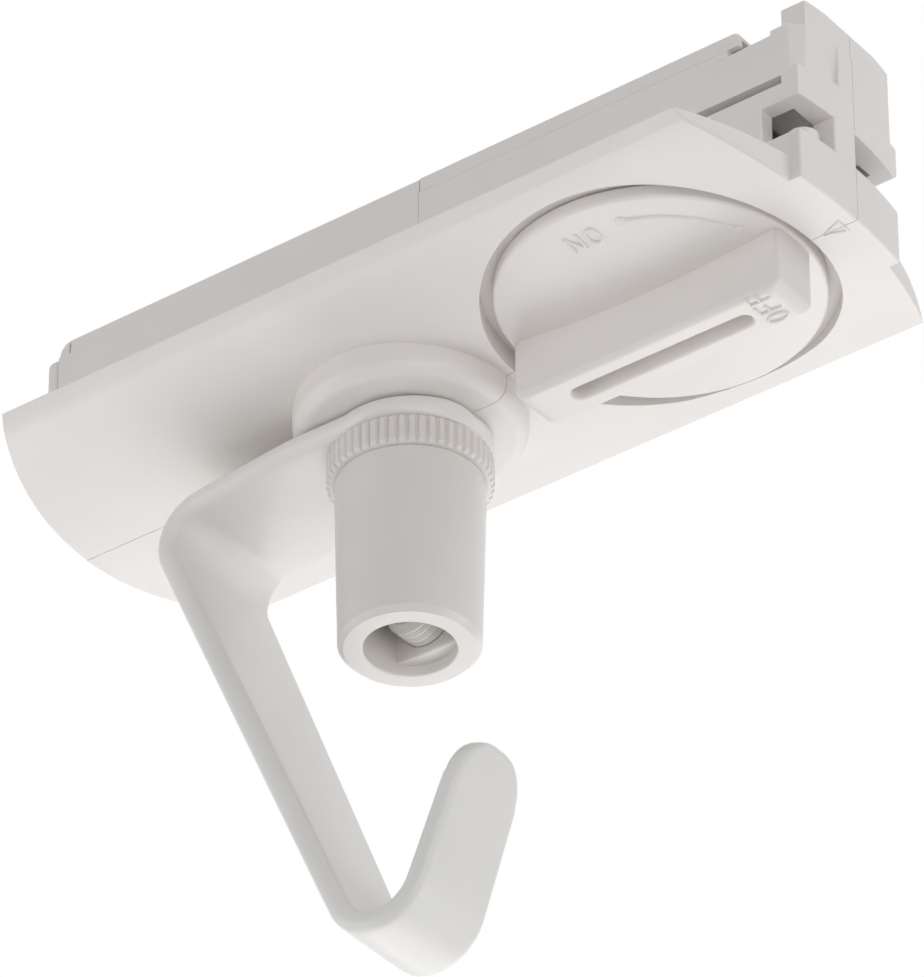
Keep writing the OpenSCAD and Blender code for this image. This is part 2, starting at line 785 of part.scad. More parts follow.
// The hook's middle line as stations [x, z, heading, length so far], walked leg by leg.
// A leg is [straight length, bend radius, turn, number of steps along the straight].
hook_legs = [
    [eye_radius + hook_flat, crank_radius, hook_crank, 40],
    [hook_arm, bend_radius, 90 + leg_slant - hook_crank, 2],
    [hook_leg, waist_radius, 180 - leg_slant - tab_slant, 4],
    [hook_tab, 0, 0, 36]
];
function straight_stations(x, z, heading, run, length, count) = [
    for (i = [0:count]) let (along = length*i/count)
        [x + along*cos(heading), z + along*sin(heading), heading, run + along]
];
function bend_stations(x, z, heading, run, radius, turn, count) = [
    for (i = [1:count - 1]) let (angle = turn*i/count)
        [x + radius*(sin(heading + angle) - sin(heading)), z - radius*(cos(heading + angle) - cos(heading)),
            heading + angle, run + radius*angle*PI/180]
];
function walk(legs, index, x, z, heading, run) = index >= len(legs) ? [] :
    let (
        leg = legs[index],
        x_end = x + leg[0]*cos(heading),
        z_end = z + leg[0]*sin(heading),
        run_end = run + leg[0],
        turned = heading + leg[2]
    )
    concat(
        straight_stations(x, z, heading, run, leg[0], leg[3]),
        leg[2] == 0 ? [] : bend_stations(x_end, z_end, heading, run_end, leg[1], leg[2], ceil(leg[2]/8)),
        walk(legs, index + 1, x_end + leg[1]*(sin(turned) - sin(heading)),
            z_end - leg[1]*(cos(turned) - cos(heading)), turned, run_end + leg[1]*leg[2]*PI/180)
    );
function leg_run(index) = hook_legs[index][0] + hook_legs[index][1]*hook_legs[index][2]*PI/180;
hook_path = walk(hook_legs, 0, stem_x + eye_radius, hook_mid, 180, 0);
taper_start = leg_run(0) + leg_run(1);
taper_end = taper_start + leg_run(2);
hook_run = taper_end + hook_tab;

// Half of a round end's width at a distance from its centre
function round_half(radius, off) = sqrt(max(0, pow(radius, 2) - pow(off, 2)));

// Half width of the strip at a distance along it: round eye, parallel arm, tapering leg, round tip
function hook_half_width(run) =
    let (
        full = run < taper_start ? hook_width
            : run < taper_end
                ? hook_width + (hook_waist - hook_width)*(run - taper_start)/(taper_end - taper_start)
            : hook_waist + (hook_tip_width - hook_waist)*(run - taper_end)/hook_tab,
        tip_radius = hook_tip_width/2,
        eye_half = round_half(eye_radius, eye_radius - run)
    )
    max(0.5, run < eye_radius ? eye_half
        : run < taper_start ? max(full/2, eye_half)
        : run < hook_run - tip_radius ? full/2
        : round_half(tip_radius, run - hook_run + tip_radius));

// Half thickness of the strip at a distance along it, rounded off at both ends
function hook_half_thickness(run) =
    let (off = max(0, hook_round - min(run, hook_run - run)))
    max(0.2, hook_thickness/2 - hook_round + round_half(hook_round, off));

// Rounded outline of the strip across its middle line
edge_steps = 5;
function strip_outline(half, half_thickness) =
    let (round_y = min(hook_round, 0.9*half), round_z = min(hook_round, 0.9*half_thickness))
    [for (corner = [0:3], step = [0:edge_steps - 1])
        let (angle = 90*corner + 90*step/(edge_steps - 1),
            side_y = corner == 0 || corner == 3 ? 1 : -1,
            side_z = corner < 2 ? 1 : -1)
        [side_y*(half - round_y) + round_y*cos(angle), side_z*(half_thickness - round_z) + round_z*sin(angle)]];

// Steel strip bent to a hook, as one swept body
module hook_strip() {
    count = len(hook_path);
    around = 4*edge_steps;
    points = [
        for (station = hook_path,
                spot = strip_outline(hook_half_width(station[3]), hook_half_thickness(station[3])))
            [station[0] - spot[1]*sin(station[2]), spot[0], station[1] + spot[1]*cos(station[2])]
    ];
    sides = [
        for (ring = [0:count - 2], spot = [0:around - 1])
            let (next = (spot + 1) % around)
            each [
                [ring*around + spot, (ring + 1)*around + next, ring*around + next],
                [ring*around + spot, (ring + 1)*around + spot, (ring + 1)*around + next]
            ]
    ];
    caps = [
        [for (spot = [0:around - 1]) spot],
        [for (spot = [around - 1:-1:0]) (count - 1)*around + spot]
    ];
    polyhedron(points = points, faces = concat(sides, caps), convexity = 8);
}

module hook() {
    color(hook_white) difference() {
        hook_strip();
        translate([stem_x, 0, hook_mid - 5]) cylinder(r = eye_bore, h = 10);
    }
}

// Ring nut with straight knurling
module ring_nut() {
    groove = 0.32;
    bevel = 0.3;
    color(shell_white) translate([stem_x, 0, nut_bottom]) difference() {
        union() {
            cylinder(r1 = nut_radius - bevel, r2 = nut_radius, h = bevel);
            translate([0, 0, bevel]) cylinder(r = nut_radius, h = nut_height - 2*bevel);
            translate([0, 0, nut_height - bevel]) cylinder(r1 = nut_radius, r2 = nut_radius - bevel, h = bevel);
        }
        translate([0, 0, -1]) cylinder(r = nipple_radius + thread_gap, h = nut_height + 2);
        for (i = [0:nut_grooves - 1]) rotate([0, 0, 360*i/nut_grooves]) translate([nut_radius, 0, -1])
            cylinder(r = groove, h = nut_height + 2, $fn = 4);
    }
}

// Cord grip: tapered body, threaded at the top, with a flat inside for the clamp screw
module cord_grip() {
    mouth_bevel = 0.5;
    thread_floor = nipple_bottom - 0.4;
    top = nut_bottom - fit_gap;
    color(nylon_white) difference() {
        translate([stem_x, 0, 0]) rotate_extrude() polygon([
            [0, top], [grip_top_radius, top], [grip_mouth_radius, mouth_z + mouth_bevel],
            [grip_mouth_radius - mouth_bevel, mouth_z], [0, mouth_z]
        ]);
        translate([stem_x, 0, thread_floor]) cylinder(r = nipple_radius + thread_gap, h = 20);
        difference() {
            translate([stem_x, 0, mouth_z - 1]) cylinder(r = cord_bore, h = thread_floor - mouth_z + 2);
            box([stem_x - 6, clamp_flat, clamp_flat_floor], [stem_x + 6, 6, thread_floor]);
        }
        bar_y([stem_x, clamp_axis_z], 0, 10, clamp_radius + thread_gap);
    }
}

// Nylon grub screw that clamps the cord
module clamp_screw() {
    end_y = clamp_tip_y + clamp_length_y;
    color(nylon_white) difference() {
        bar_y([stem_x, clamp_axis_z], clamp_tip_y, end_y, clamp_radius);
        box([stem_x - 3, end_y - clamp_slot_depth, clamp_axis_z - clamp_slot_width/2],
            [stem_x + 3, end_y + 1, clamp_axis_z + clamp_slot_width/2]);
    }
}

near_half_shell();
far_half_shell();
rear_cover();
front_cap();
housing_screws();
knob();
rotor();
rotor_screw();
friction_washer();
locking_plate();
live_blade();
neutral_blade();
live_feed_strip();
neutral_feed_strip();
earth_strip();
terminal_block();
terminal_clamps();
terminal_screws();
nipple();
hook();
ring_nut();
cord_grip();
clamp_screw();
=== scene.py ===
import math

import bmesh
import bpy
from mathutils import Matrix, Vector
from mathutils.bvhtree import BVHTree
from mathutils.geometry import intersect_point_line


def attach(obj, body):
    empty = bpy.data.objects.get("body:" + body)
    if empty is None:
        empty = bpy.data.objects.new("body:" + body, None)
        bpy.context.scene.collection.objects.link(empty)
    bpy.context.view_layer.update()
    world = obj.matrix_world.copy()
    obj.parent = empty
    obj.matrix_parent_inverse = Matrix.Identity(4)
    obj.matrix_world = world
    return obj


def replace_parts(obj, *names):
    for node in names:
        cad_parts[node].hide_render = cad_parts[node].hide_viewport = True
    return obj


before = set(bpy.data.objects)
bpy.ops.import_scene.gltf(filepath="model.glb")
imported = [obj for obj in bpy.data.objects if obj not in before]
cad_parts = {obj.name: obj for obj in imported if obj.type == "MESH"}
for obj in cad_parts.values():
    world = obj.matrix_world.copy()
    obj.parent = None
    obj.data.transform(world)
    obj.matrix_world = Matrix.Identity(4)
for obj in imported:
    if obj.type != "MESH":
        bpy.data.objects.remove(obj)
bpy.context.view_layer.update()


# The housing is two half shells, injection moulded in white polycarbonate. The tool's spark-eroded
# faces leave a fine, even grain, and every outer edge is broken by a small radius.
# The halves meet along the middle, and three small screws pull them together.
shell_colour = "EBE7E5"
shell_shade = "E8E4E1"
shell_edge = 0.00024
shell_fine_edge = 0.00006
seam_x = 0.00155
# The screws pull the halves together, so the split shows narrower than its clearance.
split_share = 0.6
spark_grain = 0.0002
spark_height = 0.00001
flow_width = 0.012
on_plane = 0.0001


def linear_colour(code):
    """Linear RGBA of an sRGB hex colour."""
    parts = [int(code[at:at + 2], 16)/255 for at in (0, 2, 4)]
    return [part/12.92 if part <= 0.04045 else ((part + 0.055)/1.055)**2.4 for part in parts] + [1]


def add_node(tree, kind, settings=None, links=None):
    """New node, with its values set by name and its sockets fed from other nodes' outputs."""
    node = tree.nodes.new(kind)
    for name, value in (settings or {}).items():
        if name in node.inputs:
            node.inputs[name].default_value = value
        else:
            setattr(node, name, value)
    for name, source in (links or {}).items():
        tree.links.new(source, node.inputs[name])
    return node


def blend_colours(tree, factor, low_colour, high_colour, low=0.35, high=0.65):
    """Colour that runs between two sRGB hex colours as a factor rises."""
    ramp = add_node(tree, "ShaderNodeValToRGB", links={"Fac": factor})
    for stop, place, code in zip(ramp.color_ramp.elements, (low, high), (low_colour, high_colour)):
        stop.position = place
        stop.color = linear_colour(code)
    return ramp.outputs["Color"]


def moulded_plastic(name, colour, shade, roughness, grain, height):
    """Plastic from a spark-eroded tool: a grain in relief and a faint clouding where the melt flowed."""
    material = bpy.data.materials.new(name)
    material.use_nodes = True
    tree = material.node_tree
    shader = tree.nodes["Principled BSDF"]
    shader.inputs["IOR"].default_value = 1.55
    place = add_node(tree, "ShaderNodeTexCoord").outputs["Object"]
    pits = add_node(tree, "ShaderNodeTexNoise", {"Scale": 1/grain, "Detail": 3, "Roughness": 0.6},
                    {"Vector": place}).outputs["Fac"]
    relief = add_node(tree, "ShaderNodeBump", {"Strength": 0.7, "Distance": height}, {"Height": pits})
    flow = add_node(tree, "ShaderNodeTexNoise", {"Scale": 1/flow_width, "Detail": 2},
                    {"Vector": place}).outputs["Fac"]
    gloss = add_node(tree, "ShaderNodeMapRange", {"To Min": roughness - 0.06, "To Max": roughness + 0.06},
                     {"Value": pits})
    tree.links.new(blend_colours(tree, flow, shade, colour), shader.inputs["Base Color"])
    tree.links.new(gloss.outputs["Result"], shader.inputs["Roughness"])
    tree.links.new(relief.outputs["Normal"], shader.inputs["Normal"])
    return material


def joined_copy(node_name):
    """Shape of a CAD node with its loose triangles joined and its flat faces made whole."""
    shape = bmesh.new()
    shape.from_mesh(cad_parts[node_name].data)
    bmesh.ops.remove_doubles(shape, verts=shape.verts, dist=2e-6)
    bmesh.ops.dissolve_limit(shape, angle_limit=math.radians(0.4), verts=shape.verts, edges=shape.edges)
    return shape


def is_outside(edge):
    """Whether there is open air in front of an edge, so that it isn't inside the adapter."""
    away = (edge.link_faces[0].normal + edge.link_faces[1].normal).normalized()
    middle = (edge.verts[0].co + edge.verts[1].co)/2
    return all_parts.ray_cast(middle + 0.00003*away, away)[0] is None


def is_cramped(edge, radius):
    """Whether a face beside an edge is too narrow there for a rounding of this radius."""
    start, end = (vert.co for vert in edge.verts)
    middle = (start + end)/2
    along = (end - start).normalized()
    for other in {other for face in edge.link_faces for other in face.edges} - {edge}:
        first, last = (vert.co for vert in other.verts)
        share = min(1, max(0, intersect_point_line(middle, first, last)[1]))
        gap = first.lerp(last, share) - middle
        across = gap - gap.dot(along)*along
        if gap.length < 1.6*radius and across.length > 0.8*gap.length:
            return True
    return False


def edge_runs(edges):
    """Group edges into smooth runs, such as the rim of a hole."""
    spare = dict.fromkeys(edges)
    while spare:
        run = [spare.popitem()[0]]
        for edge in run:
            for vert in edge.verts:
                back = (vert.co - edge.other_vert(vert).co).normalized()
                for other in vert.link_edges:
                    ahead = (other.other_vert(vert).co - vert.co).normalized()
                    if other in spare and ahead.dot(back) > 0.85:
                        del spare[other]
                        run.append(other)
        yield run


def round_edges(shape, radius, lowest_angle=30, crisp=lambda edge: False):
    """Round the outer edges of a moulded shape, run by run, where its faces leave room."""
    shape.normal_update()
    limit = math.radians(lowest_angle)
    chosen = []
    sharp = [edge for edge in shape.edges
             if edge.is_convex and edge.calc_face_angle() > limit and not crisp(edge)]
    for run in edge_runs(sharp):
        length = sum(edge.calc_length() for edge in run)
        outside = sum(edge.calc_length() for edge in run if is_outside(edge))
        cramped = sum(edge.calc_length() for edge in run if is_cramped(edge, radius))
        if length > 5*radius and outside > 0.5*length and cramped < 0.1*length:
            chosen += run
    bmesh.ops.bevel(shape, geom=chosen, offset=radius, offset_type="OFFSET", affect="EDGES", segments=3,
                    profile=0.5, material=-1, clamp_overlap=False)
    bmesh.ops.dissolve_degenerate(shape, edges=shape.edges, dist=1e-6)


def place_piece(shape, name, material, body):
    """Finish a shape as a smooth-shaded piece that rides on a body."""
    mesh = bpy.data.meshes.new(name)
    shape.to_mesh(mesh)
    shape.free()
    for spare in [layer.name for layer in mesh.attributes if layer.name == "custom_normal"]:
        mesh.attributes.remove(mesh.attributes[spare])
    for face in mesh.polygons:
        face.use_smooth = True
    mesh.set_sharp_from_angle(angle=math.radians(32))
    mesh.materials.clear()
    mesh.materials.append(material)
    piece = bpy.data.objects.new(name, mesh)
    bpy.context.scene.collection.objects.link(piece)
    shading = piece.modifiers.new("flat_faces", "WEIGHTED_NORMAL")
    shading.keep_sharp = True
    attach(piece, body)
    return piece


def meets_neighbour(edge):
    """Whether an edge lies along the split between the halves or the seam to the rear cover."""
    ends = [vert.co for vert in edge.verts]
    along_split = all(abs(end.y) < on_plane for end in ends)
    along_seam = all(abs(end.x - seam_x) < on_plane for end in ends)
    return along_split or along_seam


polycarbonate = moulded_plastic("white_polycarbonate", shell_colour, shell_shade, 0.4,
                                spark_grain, spark_height)
loose_parts = bmesh.new()
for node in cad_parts.values():
    loose_parts.from_mesh(node.data)
all_parts = BVHTree.FromBMesh(loose_parts)
loose_parts.free()
for shell_name in ("near_half_shell", "far_half_shell"):
    shell = joined_copy(shell_name)
    for vert in shell.verts:
        if abs(vert.co.y) < on_plane:
            vert.co.y *= split_share
    round_edges(shell, shell_edge, crisp=meets_neighbour)
    round_edges(shell, shell_fine_edge, 50, crisp=meets_neighbour)
    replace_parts(place_piece(shell, shell_name + "_moulding", polycarbonate, "housing"), shell_name)


# A small open triangle stands on the underside at the front end, as the index for the knob. Its lines
# are cut into the tool with a ball cutter, so they stand up rounded, moulded with the shells.
# The split line runs through it, so half of it is on each shell.
index_tip = 0.0373
index_base = 0.0391
index_half = 0.00074
index_line = 0.00014
underside = -0.0029
split_half = 0.00005


def raised_lines(strokes, radius, rise, surface):
    """Rounded lines that stand on a face, along strokes of (x, y) points at the face's height."""
    curve = bpy.data.curves.new("lines", "CURVE")
    curve.dimensions = "3D"
    curve.bevel_depth = radius
    curve.bevel_resolution = 3
    curve.use_fill_caps = True
    for stroke in strokes:
        spline = curve.splines.new("POLY")
        spline.points.add(len(stroke) - 1)
        for point, (x, y) in zip(spline.points, stroke):
            point.co = (x, y, surface(x, y), 1)
    lines = bpy.data.objects.new("lines", curve)
    bpy.context.scene.collection.objects.link(lines)
    bpy.context.view_layer.update()
    shape = bmesh.new()
    shape.from_mesh(lines.evaluated_get(bpy.context.evaluated_depsgraph_get()).to_mesh())
    bpy.data.objects.remove(lines)
    bpy.data.curves.remove(curve)
    for stroke in strokes:
        for x, y in (stroke[0], stroke[-1]):
            bmesh.ops.create_uvsphere(shape, u_segments=16, v_segments=8, radius=radius,
                                      matrix=Matrix.Translation((x, y, surface(x, y))))
    bmesh.ops.remove_doubles(shape, verts=shape.verts, dist=1e-8)
    for vert in shape.verts:
        foot = surface(vert.co.x, vert.co.y)
        vert.co.z = foot + (vert.co.z - foot)*rise/radius
    bmesh.ops.recalc_face_normals(shape, faces=shape.faces)
    return shape


index_corners = [(index_tip, 0), (index_base, index_half), (index_base, -index_half)]
index_strokes = list(zip(index_corners, index_corners[1:] + index_corners[:1]))
for side, half_name in ((-1, "near"), (1, "far")):
    index = raised_lines(index_strokes, index_line, index_line, lambda x, y: underside)
    bmesh.ops.bisect_plane(index, geom=index.verts[:] + index.edges[:] + index.faces[:],
                           clear_inner=True, plane_co=(0, side*split_half, 0), plane_no=(0, side, 0))
    bmesh.ops.holes_fill(index, edges=[edge for edge in index.edges if edge.is_boundary])
    bmesh.ops.recalc_face_normals(index, faces=index.faces)
    place_piece(index, "index_mark_" + half_name, polycarbonate, "housing")


# The rear cover and the front cap close the top of the insert. They are moulded in the same white
# polycarbonate and snap on between the side walls.
for cover_name in ("rear_cover", "front_cap"):
    cover = joined_copy(cover_name)
    round_edges(cover, shell_edge, crisp=meets_neighbour)
    round_edges(cover, shell_fine_edge, 50, crisp=meets_neighbour)
    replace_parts(place_piece(cover, cover_name + "_moulding", polycarbonate, "housing"), cover_name)


# Zinc-plated steel screws with slotted heads hold the two halves together from the far side.
# The plating is thin and bright, with a faint bluish clouding.
def bare_metal(name, colour, shade, roughness, streak, along):
    """Bare or plated metal: drawn or turned streaks that vary its roughness and its tone."""
    material = bpy.data.materials.new(name)
    material.use_nodes = True
    tree = material.node_tree
    shader = tree.nodes["Principled BSDF"]
    shader.inputs["Metallic"].default_value = 1
    place = add_node(tree, "ShaderNodeTexCoord").outputs["Object"]
    stretch = add_node(tree, "ShaderNodeMapping",
                       {"Scale": [0.06 if axis == along else 1 for axis in range(3)]},
                       {"Vector": place}).outputs["Vector"]
    streaks = add_node(tree, "ShaderNodeTexNoise", {"Scale": 1/streak, "Detail": 4, "Roughness": 0.6},
                       {"Vector": stretch}).outputs["Fac"]
    gloss = add_node(tree, "ShaderNodeMapRange", {"To Min": roughness - 0.08, "To Max": roughness + 0.1},
                     {"Value": streaks})
    scratches = add_node(tree, "ShaderNodeBump", {"Strength": 0.25, "Distance": 0.000004},
                         {"Height": streaks})
    tree.links.new(blend_colours(tree, streaks, shade, colour), shader.inputs["Base Color"])
    tree.links.new(gloss.outputs["Result"], shader.inputs["Roughness"])
    tree.links.new(scratches.outputs["Normal"], shader.inputs["Normal"])
    return material


def dress_node(node_name, material):
    """Give a CAD node that is kept as it is a better material."""
    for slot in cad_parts[node_name].material_slots:
        slot.material = material


zinc_plate = bare_metal("zinc_plated_steel", "B6BABD", "A2A7AB", 0.32, 0.0003, 1)
for screw_name in ("housing_screws", "rotor_screw", "terminal_screws"):
    dress_node(screw_name, zinc_plate)


# The locking plate and its friction washer are stamped from spring steel strip, tumbled to take off
# the burrs, so they look satin and grey, with the strip's rolling lines along them.
spring_steel = bare_metal("rolled_spring_steel", "A9ABAD", "96999C", 0.36, 0.0002, 0)
for plate_name in ("friction_washer", "locking_plate"):
    dress_node(plate_name, spring_steel)


# The contact blades, the strips that feed them and the terminal clamps are stamped from brass strip.
# The rolling lines run along the strip, and the brass has dulled a little.
strip_brass = bare_metal("rolled_brass", "D2B063", "BE9A50", 0.32, 0.00025, 0)
for contact_name in ("live_blade", "neutral_blade", "live_feed_strip", "neutral_feed_strip", "earth_strip",
                     "terminal_clamps"):
    dress_node(contact_name, strip_brass)


# The rotor is moulded in grey glass-filled polyester, and the terminal block in natural nylon.
# Both are inside the insert, and the grain on them is a little coarser than on the housing.
glass_polyester = moulded_plastic("grey_glass_filled_polyester", "8F9397", "868A8F", 0.55, 0.0003, 0.000015)
dress_node("rotor", glass_polyester)
block_nylon = moulded_plastic("natural_nylon", "E6E1D2", "DFD9C8", 0.42, 0.0003, 0.000008)
dress_node("terminal_block", block_nylon)


# The nipple is a short length of threaded steel tube with a collar, zinc plated.
# Its collar lies between the two halves, and the cord runs through its bore.
tube_zinc = bare_metal("zinc_plated_tube", "C4C7C9", "AEB2B6", 0.34, 0.0003, 2)
dress_node("nipple", tube_zinc)


# The hook is a tapered strip of steel, cut, bent and then powder coated in half-gloss white.
# The coat has flowed round the edges, which a smoothing of the mesh stands for, and left a slight
# orange peel on the flats. Only the rim of the eye stays sharp.
hook_colour = "ECEBE9"
hook_shade = "E9E8E5"
peel_width = 0.0012
film_width = 0.01
pair_angle = math.radians(25)
pair_skew = math.radians(60)
eye_rim_angle = math.radians(60)
powder_coat = bpy.data.materials.new("half_gloss_white_powder_coat")
powder_coat.use_nodes = True
coat_tree = powder_coat.node_tree
coat_shader = coat_tree.nodes["Principled BSDF"]
coat_shader.inputs["IOR"].default_value = 1.5
coat_place = add_node(coat_tree, "ShaderNodeTexCoord").outputs["Object"]
coat_peel = add_node(coat_tree, "ShaderNodeTexNoise", {"Scale": 1/peel_width, "Detail": 1},
                     {"Vector": coat_place}).outputs["Fac"]
coat_film = add_node(coat_tree, "ShaderNodeTexNoise", {"Scale": 1/film_width, "Detail": 2},
                     {"Vector": coat_place}).outputs["Fac"]
coat_relief = add_node(coat_tree, "ShaderNodeBump", {"Strength": 0.35, "Distance": 0.00001},
                       {"Height": coat_peel})
coat_gloss = add_node(coat_tree, "ShaderNodeMapRange", {"To Min": 0.28, "To Max": 0.36}, {"Value": coat_film})
coat_colour = blend_colours(coat_tree, coat_film, hook_shade, hook_colour)
coat_tree.links.new(coat_colour, coat_shader.inputs["Base Color"])
coat_tree.links.new(coat_gloss.outputs["Result"], coat_shader.inputs["Roughness"])
coat_tree.links.new(coat_relief.outputs["Normal"], coat_shader.inputs["Normal"])
hook = bmesh.new()
hook.from_mesh(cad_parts["hook"].data)
bmesh.ops.remove_doubles(hook, verts=hook.verts, dist=2e-6)
bmesh.ops.join_triangles(hook, faces=hook.faces, angle_face_threshold=pair_angle,
                         angle_shape_threshold=pair_skew)
crease = hook.edges.layers.float.new("crease_edge")
for edge in hook.edges:
    edge[crease] = 1 if edge.calc_face_angle() > eye_rim_angle else 0
hook_strip = place_piece(hook, "hook_strip", powder_coat, "hook")
flowed = hook_strip.modifiers.new("flowed_coat", "SUBSURF")
flowed.levels = 2
flowed.render_levels = 2
hook_strip.modifiers.move(1, 0)
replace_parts(hook_strip, "hook")


# The ring nut clamps the hook under the boss. It is turned from white nylon and straight knurled,
# with a small bevel at each end of the ridges.
stem_x = -0.00455
nut_radius = 0.007
nut_bore = 0.00504
nut_top = -0.00746
nut_bottom = -0.01021
nut_ridges = 52
ridge_depth = 0.00034
nut_bevel = 0.0003


def add_loop(shape, edges, reshape):
    """Extrude a closed loop of edges, move each new point with reshape, and give the new loop."""
    made = bmesh.ops.extrude_edge_only(shape, edges=edges)["geom"]
    points = {item for item in made if isinstance(item, bmesh.types.BMVert)}
    for point in points:
        point.co = reshape(point.co)
    return [item for item in made if isinstance(item, bmesh.types.BMEdge) and points.issuperset(item.verts)]


def nut_point(radius, depth, height):
    """Move a point of the nut to a radius that dips by depth between the ridges."""
    def moved(spot):
        angle = math.atan2(spot.y, spot.x - stem_x)
        dip = max(0, math.cos(nut_ridges*angle))**1.5
        reach = radius - depth*dip
        return Vector((stem_x + reach*math.cos(angle), reach*math.sin(angle), height))
    return moved


nylon = moulded_plastic("white_nylon", "E8E4E2", "E5E1DE", 0.36, 0.0003, 0.000004)
nut = bmesh.new()
bmesh.ops.create_circle(nut, segments=12*nut_ridges, radius=nut_bore,
                        matrix=Matrix.Translation((stem_x, 0, nut_bottom)))
bore_bottom = nut.edges[:]
loop = bore_bottom
for radius, depth, height in (
        (nut_radius - nut_bevel - ridge_depth, 0, nut_bottom),
        (nut_radius - nut_bevel, 0.2*ridge_depth, nut_bottom),
        (nut_radius, ridge_depth, nut_bottom + nut_bevel),
        (nut_radius, ridge_depth, nut_top - nut_bevel),
        (nut_radius - nut_bevel, 0.2*ridge_depth, nut_top),
        (nut_radius - nut_bevel - ridge_depth, 0, nut_top),
        (nut_bore, 0, nut_top)):
    loop = add_loop(nut, loop, nut_point(radius, depth, height))
bmesh.ops.bridge_loops(nut, edges=bore_bottom + loop)
bmesh.ops.recalc_face_normals(nut, faces=nut.faces)
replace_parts(place_piece(nut, "knurled_ring_nut", nylon, "housing"), "ring_nut")


# The cord grip is a tapered barrel, moulded in white nylon from a polished tool, so it is smoother
# than the housing. It screws up the nipple against the nut, and its mouth has a rounded rim.
grip_edge = 0.00018
grip_nylon = moulded_plastic("satin_white_nylon", "E8E4E1", "E5E1DE", 0.3, 0.0004, 0.000003)
barrel = joined_copy("cord_grip")
round_edges(barrel, grip_edge)
round_edges(barrel, grip_edge/3, 50)
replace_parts(place_piece(barrel, "cord_grip_barrel", grip_nylon, "housing"), "cord_grip")


# The clamp screw is a slotted nylon grub screw with a coarse thread. It runs in through the barrel's
# wall, and its end presses the cord against the bore.
clamp_axis_z = -0.02221
clamp_radius = 0.0024
clamp_tip = -0.0005
clamp_end = 0.0051
thread_pitch = 0.0007
thread_depth = 0.0003
thread_turns = 7
tip_bevel = 0.0003
end_bevel = 0.0002
driver_half = 0.0004
driver_depth = 0.001
clamp_nylon = moulded_plastic("natural_white_nylon", "ECE9E5", "E8E5E0", 0.34, 0.0003, 0.000004)
clamp = bmesh.new()
core_radius = clamp_radius - thread_depth
outline = [(0, clamp_tip), (core_radius - tip_bevel, clamp_tip), (core_radius, clamp_tip + tip_bevel)]
for turn in range(thread_turns):
    start = clamp_tip + tip_bevel + turn*thread_pitch
    outline += [(clamp_radius, start + 0.35*thread_pitch), (clamp_radius, start + 0.5*thread_pitch),
                (core_radius, start + 0.85*thread_pitch)]
outline += [(core_radius, clamp_end - end_bevel), (core_radius - end_bevel, clamp_end)]
points = [clamp.verts.new((stem_x + radius, y, clamp_axis_z)) for radius, y in outline]
edges = [clamp.edges.new(pair) for pair in zip(points, points[1:])]
bmesh.ops.spin(clamp, geom=points + edges, cent=(stem_x, 0, clamp_axis_z), axis=(0, 1, 0), dvec=(0, 0, 0),
               angle=2*math.pi, steps=48, use_merge=True)
bmesh.ops.remove_doubles(clamp, verts=clamp.verts, dist=1e-6)
bmesh.ops.holes_fill(clamp, edges=[edge for edge in clamp.edges if edge.is_boundary])
bmesh.ops.recalc_face_normals(clamp, faces=clamp.faces)
for side in (-1, 1):
    lid = [face for face in clamp.faces if face.calc_center_median().y > clamp_end - 1e-6]
    rim = {edge for face in lid for edge in face.edges} | {vert for face in lid for vert in face.verts}
    bmesh.ops.bisect_plane(clamp, geom=lid + list(rim), plane_no=(0, 0, 1),
                           plane_co=(0, 0, clamp_axis_z + side*driver_half))
driver_slot = [face for face in clamp.faces if face.calc_center_median().y > clamp_end - 1e-6
               and abs(face.calc_center_median().z - clamp_axis_z) < driver_half]
sunk = bmesh.ops.extrude_face_region(clamp, geom=driver_slot)["geom"]
bmesh.ops.delete(clamp, geom=driver_slot, context="FACES_ONLY")
bmesh.ops.translate(clamp, verts=[item for item in sunk if isinstance(item, bmesh.types.BMVert)],
                    vec=(0, -driver_depth, 0))
bmesh.ops.recalc_face_normals(clamp, faces=clamp.faces)
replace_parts(place_piece(clamp, "clamp_grub_screw", clamp_nylon, "clamp"), "clamp_screw")


# The knob is moulded in the same white plastic as the housing: a shallow domed disc, a bar grip with a
# slot along it, and a hub that drives the rotor. It is held from inside by the rotor's screw.
knob_x = 0.02105
rim_face = -0.0022
corner_radius = 0.00045
bar_end_reach = 0.0117
bar_side_least = 0.0019
bar_side_most = 0.00251
knob_plastic = moulded_plastic("white_polycarbonate_knob", shell_colour, shell_shade, 0.4,
                               spark_grain, spark_height)
knob = joined_copy("knob")
knob.normal_update()
corners = []
for edge in knob.edges:
    if edge.is_convex and edge.calc_face_angle() > math.radians(20):
        points = [vert.co for vert in edge.verts]
        slope = [abs(step) for step in points[1] - points[0]]
        at_end = all(abs(point.x - knob_x) > bar_end_reach and bar_side_least < abs(point.y) < bar_side_most
                     for point in points)
        below = all(point.z < rim_face + 1e-6 for point in points)
        if at_end and below and slope[1] < slope[0] + slope[2]:
            corners.append(edge)
rounded = bmesh.ops.bevel(knob, geom=corners, offset=corner_radius, offset_type="OFFSET", affect="EDGES",
                          segments=4, profile=0.5, material=-1, clamp_overlap=False)
bmesh.ops.remove_doubles(knob, verts=rounded["verts"], dist=0.00008)
bmesh.ops.dissolve_degenerate(knob, edges=knob.edges, dist=1e-6)
round_edges(knob, shell_edge)
round_edges(knob, shell_fine_edge, 50)
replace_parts(place_piece(knob, "knob_moulding", knob_plastic, "knob"), "knob")


